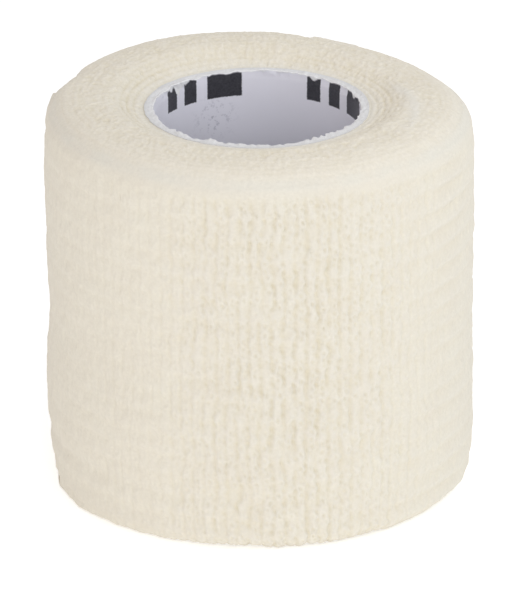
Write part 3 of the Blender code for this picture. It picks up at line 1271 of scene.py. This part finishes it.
def paper_finish(paper):
    """Smooth pale paper, white and fibrous where it is torn, with plain dashes printed inside."""
    finish = new_finish("white core paper")
    place = finish.place()
    torn = finish.attribute("torn")
    uv = finish.add("ShaderNodeTexCoord", output="UV")
    around = finish.split(uv, 0)
    height = finish.split(uv, 1)
    fuzz = finish.noise(place, 0.25 * MM, 2.0)
    soft = finish.noise(place, 6 * MM, 2.0)
    fibres = finish.noise(place, 0.12 * MM, 3.0, 0.6)

    quarter = (around * 4).fraction() + (fuzz - 0.5) * 0.008
    blur = 0.004
    dashes = None
    for start, end in PRINT_DASHES:
        dash = quarter.smooth_step(start - blur, start + blur) * quarter.smooth_step(end + blur, end - blur)
        dashes = dash if dashes is None else dashes.larger(dash)
    level = (CORE_LENGTH - paper.print_height) / CORE_LENGTH
    line = height + (fuzz - 0.5) * 0.004
    band = line.smooth_step(level - 0.0015, level + 0.0015)
    seen_inside = finish.attribute("inside")
    ink = dashes * band * seen_inside * (1 - torn)

    tone = finish.mix(soft, tuple(0.97 * c for c in paper.inside), tuple(1.03 * c for c in paper.inside))
    # Painted shade: the inside is painted darker with depth, where less light reaches it
    depth_shade = height.smooth_step(1.0, 1.0 - SHADE_DEPTH / CORE_LENGTH)
    tone = finish.mix(depth_shade * seen_inside, tone, tuple(SHADE_SHARE * c for c in paper.inside))
    specks = finish.noise(place, 0.8 * MM, 3.0, 0.7).smooth_step(0.53, 0.63)
    specks = specks * window(around, *SPECK_AROUND) * window(height, *SPECK_UP) * seen_inside
    tone = finish.mix(specks * 0.5, tone, SPECK_TONE)
    # Painted light: the fibres inside the rim get the brighter white
    fibres_tone = finish.mix(seen_inside, tuple(paper.torn), tuple(paper.lit_inner_fibres))
    tone = finish.mix(torn, tone, fibres_tone)
    # Painted shade: the torn rim is painted greyer towards its outer edge
    rim_shade = finish.from_axis(place, AXIS).smooth_step(RIM_SHADE_FROM, RIM_SHADE_TO) * torn
    tone = finish.mix(rim_shade, tone, tuple(RIM_SHADE_SHARE * c for c in paper.torn))
    tone = finish.mix(torn, tone, finish.grey(0.90 + fuzz * 0.20), "MULTIPLY")
    tone = finish.mix(ink * (0.93 + fuzz * 0.07), tone, tuple(paper.ink))
    finish.set("Base Color", tone)
    finish.set("Roughness", 0.38 + torn * 0.45)
    finish.set("Specular IOR Level", 0.5)
    finish.bump(fibres * (0.25 + torn * 2.0), 0.03 * MM)
    return finish.data


def shared(name, make, settings):
    """The material of that name, made at its first use."""
    return bpy.data.materials.get(name) or make(settings)


# ---------------------------------------------------------------- operators


def add_cloth(context, name, surface, rows, columns, hidden, closed=True):
    """Adds one shell of the cloth's surface in place of the cloth's solid."""
    material = shared("crinkled cream cloth", cloth_finish, context.scene.bandage_roll.tones)
    mesh = cloth_piece(name, surface, rows, columns, hidden, closed)
    add_piece(context, name, mesh, material, "wound_bandage")


def wrap_column(angle_deg):
    """The cloth's column at an angle. Columns count from the free end, where there is one more for
    the bottom of its step."""
    turn = (angle_deg - math.degrees(END_ANGLE)) % 360 / 360
    return 1 + round(turn * CLOTH_STEPS_ROUND)


class BANDAGE_OT_wraps(Operator):
    """The outermost turn of cloth, in three stretches round the roll"""

    bl_idname = "bandage.wraps"
    bl_label = "Outer Wraps"

    def execute(self, context):
        surface = cloth_surface(context.scene.bandage_roll)
        section = surface[0]
        rows = np.arange(section.first_row["edge"], section.first_row["base"] + 1)
        count = len(section.turns)
        for name, start_deg in WRAPS:
            first = wrap_column(start_deg)
            reach = (wrap_column(start_deg + WRAP_REACH_DEG) - first) % count
            columns = np.arange(first, first + reach + 1) % count
            add_cloth(context, name, surface, rows, columns, (LOWER_CORNER, UPPER_CORNER), closed=False)
        return {"FINISHED"}


class BANDAGE_OT_wound_face(Operator):
    """The dished face of cut edges, from the core to the outermost turn"""

    bl_idname = "bandage.wound_face"
    bl_label = "Wound Face"

    def execute(self, context):
        surface = cloth_surface(context.scene.bandage_roll)
        section = surface[0]
        rows = np.arange(section.first_row["edge"] + 1)
        columns = np.arange(len(section.turns))
        add_cloth(context, "wound_face", surface, rows, columns, (UPPER_CORNER, FACE_CORNER))
        return {"FINISHED"}


class BANDAGE_OT_standing_face(Operator):
    """The flat face of cut edges that the roll stands on"""

    bl_idname = "bandage.standing_face"
    bl_label = "Standing Face"

    def execute(self, context):
        surface = cloth_surface(context.scene.bandage_roll)
        section = surface[0]
        rows = np.arange(section.first_row["base"], len(section.radii))
        columns = np.arange(len(section.turns))
        add_cloth(context, "standing_face", surface, rows, columns, (BASE_CORNER, LOWER_CORNER))
        return {"FINISHED"}


def arc(radius, height, size, start_deg):
    """A quarter circle of rows, (radius + size cos a, height + size sin a), from start_deg on."""
    angles = np.radians(np.linspace(start_deg, start_deg + 90, RIM_STEPS))
    return [(radius + size * math.cos(a), height + size * math.sin(a)) for a in angles]


def core_section(paper):
    """The tube's section as a closed loop of (radius, height) rows, in metres.

    It is listed up the outside, over the rim, down the inside and back under the lower end, and
    given the other way round, so that faces made down its rows point out of the paper.
    """
    outer, inner, edge, top = CORE_RADIUS, CORE_RADIUS - paper.wall, paper.edge, CORE_LENGTH
    fine = np.linspace(top - edge, top - TORN_DEPTH, TORN_STEPS)[1:]
    coarse = np.linspace(top - TORN_DEPTH, edge, PLAIN_STEPS)[1:-1]
    loop = [(outer, height) for height in (edge, top / 2, top - TORN_DEPTH, top - FLARE_DEPTH)]
    loop += arc(outer - CRISP_EDGE, top - CRISP_EDGE, CRISP_EDGE, 0)
    loop += [(radius, top) for radius in np.linspace(outer - CRISP_EDGE, inner + edge, TOP_STEPS)[1:-1]]
    loop += arc(inner + edge, top - edge, edge, 90)
    loop += [(inner, height) for height in (*fine, *coarse)]
    loop += arc(inner + edge, edge, edge, 180)
    loop += arc(outer - edge, edge, edge, 270)[:-1]
    return np.array(loop[::-1])


def torn_edge(paper, angles, radii, heights):
    """Shifts (outward, up) of the rim's torn inner edge, and how torn the paper is, from 0 to 1.

    Coarse and fine noise round the rim draws the inner edge inwards and roughens the top. Each torn
    place adds a bell, exp(-(away / width)^2), to what leans in, stands up and shows its fibres. The
    outer edge is pressed out by the rim table's flare, and lies a little above the cloth there. The
    wall below it bends out by a share of the flare.
    """

    def noise(count, seed, rows=0 * angles):
        """Noise with this many places round the rim."""
        return lattice_noise(angles / FULL_TURN * count, rows, seed, count)

    inner = CORE_RADIUS - paper.wall
    across = np.clip((CORE_RADIUS - radii) / paper.wall, 0, 1)
    below = CORE_LENGTH - heights
    grip = step(below, 0.9 * MM, 0.1 * MM) * step(across, 0.35, 1.0)
    rough = 0.5 + 0.5 * noise(90, 81)
    jag = (0.5 + 0.5 * noise(200, 82, below / (0.5 * MM))) ** 1.5
    fine_jag = 0.5 + 0.5 * noise(310, 86)
    patch = step(noise(22, 83), -0.5, 0.7)
    reach = paper.burr * (0.2 + 0.8 * patch) * (0.35 * rough + 1.1 * jag)
    rise, down = 0, 0.12 * MM + 0.12 * MM * rough * patch
    for angle_deg, width_mm, reach_mm, rise_mm, down_mm in TEAR_ROWS:
        bell = np.exp(-((angle_away(angles, angle_deg) * inner / (width_mm * MM)) ** 2))
        reach = reach + reach_mm * MM * bell * (0.65 + 0.5 * jag)
        rise = rise + rise_mm * MM * bell * (0.7 + 0.6 * fine_jag)
        down = down + down_mm * MM * bell * (0.55 + 0.9 * fine_jag)
    top = step(below, 1.0 * MM, 0.0)
    lift = 0.12 * MM * noise(170, 84, across * 4) + 0.10 * MM * noise(40, 85, across * 2)
    lift = lift * step(across, 0.0, 0.3) + rise * step(across, 0.3, 0.9)
    torn = step(below - down, 0.07 * MM, -0.07 * MM)
    flare = round_the_roll(RIM_ROWS, RIM_COLUMNS, "flare_mm", angles) * MM
    flare = flare * (1 + 0.20 * noise(110, 87))
    outer = step(below, 0.5 * MM, 0.0) * step(across, 0.4, 0.0)
    bend = 0.65 * step(below, 1.2 * MM, 0.1 * MM)
    outward = flare * np.maximum(outer, bend) + 0.02 * MM * outer - grip * reach
    return outward, top * lift + 0.05 * MM * outer, torn


class BANDAGE_OT_paper_core(Operator):
    """The paper tube that the cloth is wound on, torn at its upper rim"""

    bl_idname = "bandage.paper_core"
    bl_label = "Paper Core"

    def execute(self, context):
        paper = context.scene.bandage_roll.paper
        loop = core_section(paper)
        angles = FULL_TURN * np.arange(CORE_STEPS_ROUND) / CORE_STEPS_ROUND + 0 * loop[:, :1]
        radii = loop[:, :1] + 0 * angles
        heights = loop[:, 1:2] + 0 * angles
        outward, up, torn = torn_edge(paper, angles, radii, heights)
        inside = (radii < CORE_RADIUS - 0.9 * paper.wall) * 1.0
        radii, heights = radii + outward, heights + up
        points = round_the_axis(radii, angles, heights).reshape(-1, 3)
        rows, columns = radii.shape
        index = np.arange(rows * columns).reshape(rows, columns)
        index = np.concatenate([index, index[:1]])
        index = np.concatenate([index, index[:, :1]], axis=1)
        quads = grid_quads(index)
        # A quad that closes the turn has its far side at 1 on the map, and not at 0
        column = quads % columns
        closing = (column == 0) & (column.max(axis=1, keepdims=True) == columns - 1)
        around = np.where(closing, columns, column) / columns
        uv = np.stack([around, heights.ravel()[quads] / CORE_LENGTH], axis=-1).reshape(-1, 2)
        attributes = {"torn": torn.ravel(), "inside": inside.ravel()}
        mesh = new_mesh("core_tube_paper", points, [quads], None, attributes, uv)
        material = shared("white core paper", paper_finish, paper)
        add_piece(context, "core_tube_paper", mesh, material, "core_tube")
        return {"FINISHED"}


class BANDAGE_OT_stage(Operator):
    """A pale floor, soft studio light and the camera"""

    bl_idname = "bandage.stage"
    bl_label = "Stage"

    def execute(self, context):
        stage = context.scene.bandage_roll.stage
        context.scene.view_settings.view_transform = "Standard"
        self.surroundings(context, stage)
        self.pale_floor(context, stage)
        for name, setting, place in LIGHTS:
            self.soft_light(context, name, getattr(stage, setting), place)
        self.camera(context, stage)
        return {"FINISHED"}

    def surroundings(self, context, stage):
        """White all round, with a dimmer and warmer tint to the left and a cooler one to the right."""
        studio = Finish(bpy.data.worlds.new("white studio"), "Background")
        direction = studio.add("ShaderNodeTexCoord", output="Generated")
        rightward = studio.split(direction, 0)
        tint = studio.mix((rightward * -1).larger(0), (1, 1, 1), tuple(stage.dim_side))
        tint = studio.mix(rightward.larger(0), tint, tuple(stage.cool_side))
        studio.set("Color", tint)
        studio.set("Strength", stage.sky)
        context.scene.world = studio.data

    def pale_floor(self, context, stage):
        """A disc of rings, (r cos a, r sin a), just under the roll. It glows outside the bore."""
        radii = np.array(FLOOR_RINGS)[:, None]
        angles = FULL_TURN * np.arange(FLOOR_SIDES) / FLOOR_SIDES
        heights = np.full((len(radii), FLOOR_SIDES), -FLOOR_GAP)
        points = np.stack([radii * np.cos(angles), radii * np.sin(angles), heights], axis=-1)
        index = np.arange(heights.size).reshape(heights.shape)
        quads = grid_quads(np.concatenate([index, index[:, :1]], axis=1))
        centre = index[0][None, :]
        mesh = new_mesh("pale_floor", points.reshape(-1, 3), [quads, centre])
        floor = bpy.data.objects.new("pale_floor", mesh)
        context.collection.objects.link(floor)
        finish = new_finish("pale floor")
        finish.set("Base Color", (*stage.floor, 1))
        finish.set("Roughness", 0.9)
        finish.set("Specular IOR Level", 0.0)
        away = finish.from_axis(finish.place(), (0, 0))
        finish.set("Emission Color", finish.grey(away.smooth_step(*GLOW_RADII)))
        finish.set("Emission Strength", stage.floor_glow)
        mesh.materials.append(finish.data)

    def soft_light(self, context, name, watts, place):
        """A round area light that faces the roll."""
        light = bpy.data.lights.new(name, "AREA")
        light.shape = "DISK"
        light.size = LIGHT_SHARE * Vector(place).length
        light.energy = watts
        lamp = bpy.data.objects.new(name, light)
        lamp.location = place
        lamp.rotation_euler = (Vector(LIGHT_AIM) - lamp.location).to_track_quat("-Z", "Y").to_euler()
        context.collection.objects.link(lamp)

    def camera(self, context, stage):
        """A long lens in front of the roll and above it, aimed a little off the roll's middle."""
        back = Vector((0, -math.cos(stage.elevation), math.sin(stage.elevation)))
        up = Vector((0, math.sin(stage.elevation), math.cos(stage.elevation)))
        middle = Vector((AXIS.x, AXIS.y, CORE_LENGTH / 2))
        aim = middle + Vector((stage.aim_right, 0, 0)) - up * stage.aim_down
        data = bpy.data.cameras.new("camera")
        data.sensor_width = 36
        data.lens = stage.lens
        data.clip_start = 0.05
        data.clip_end = 10
        camera = bpy.data.objects.new("camera", data)
        camera.location = middle + back * stage.distance
        camera.rotation_euler = (aim - camera.location).to_track_quat("-Z", "Y").to_euler()
        context.collection.objects.link(camera)
        context.scene.camera = camera


class BANDAGE_PT_panel(Panel):
    """Sizes, colours and the pieces of the roll"""

    bl_label = "Bandage Roll"
    bl_idname = "BANDAGE_PT_panel"
    bl_space_type = "VIEW_3D"
    bl_region_type = "UI"
    bl_category = "Bandage Roll"

    def draw(self, context):
        roll = context.scene.bandage_roll
        for title, group in (
            ("Cloth", roll.cloth),
            ("Relief", roll.relief),
            ("Colours", roll.tones),
            ("Core", roll.paper),
            ("Stage", roll.stage),
        ):
            box = self.layout.box()
            box.label(text=title)
            for name in group.bl_rna.properties.keys():
                if name not in ("rna_type", "name"):
                    box.prop(group, name)
        for operator in OPERATORS:
            self.layout.operator(operator.bl_idname)


GROUPS = (
    BandageClothSizes,
    BandageReliefSizes,
    BandageClothColours,
    BandagePaper,
    BandageStage,
    BandageRoll,
)
OPERATORS = (
    BANDAGE_OT_wraps,
    BANDAGE_OT_wound_face,
    BANDAGE_OT_standing_face,
    BANDAGE_OT_paper_core,
    BANDAGE_OT_stage,
)


def register():
    for each in (*GROUPS, *OPERATORS, BANDAGE_PT_panel):
        bpy.utils.register_class(each)
    bpy.types.Scene.bandage_roll = PointerProperty(type=BandageRoll)


def unregister():
    del bpy.types.Scene.bandage_roll
    for each in reversed((*GROUPS, *OPERATORS, BANDAGE_PT_panel)):
        bpy.utils.unregister_class(each)


def main():
    register()
    bpy.ops.bandage.wraps()
    bpy.ops.bandage.wound_face()
    bpy.ops.bandage.standing_face()
    bpy.ops.bandage.paper_core()
    bpy.ops.bandage.stage()


if __name__ == "__main__":
    main()
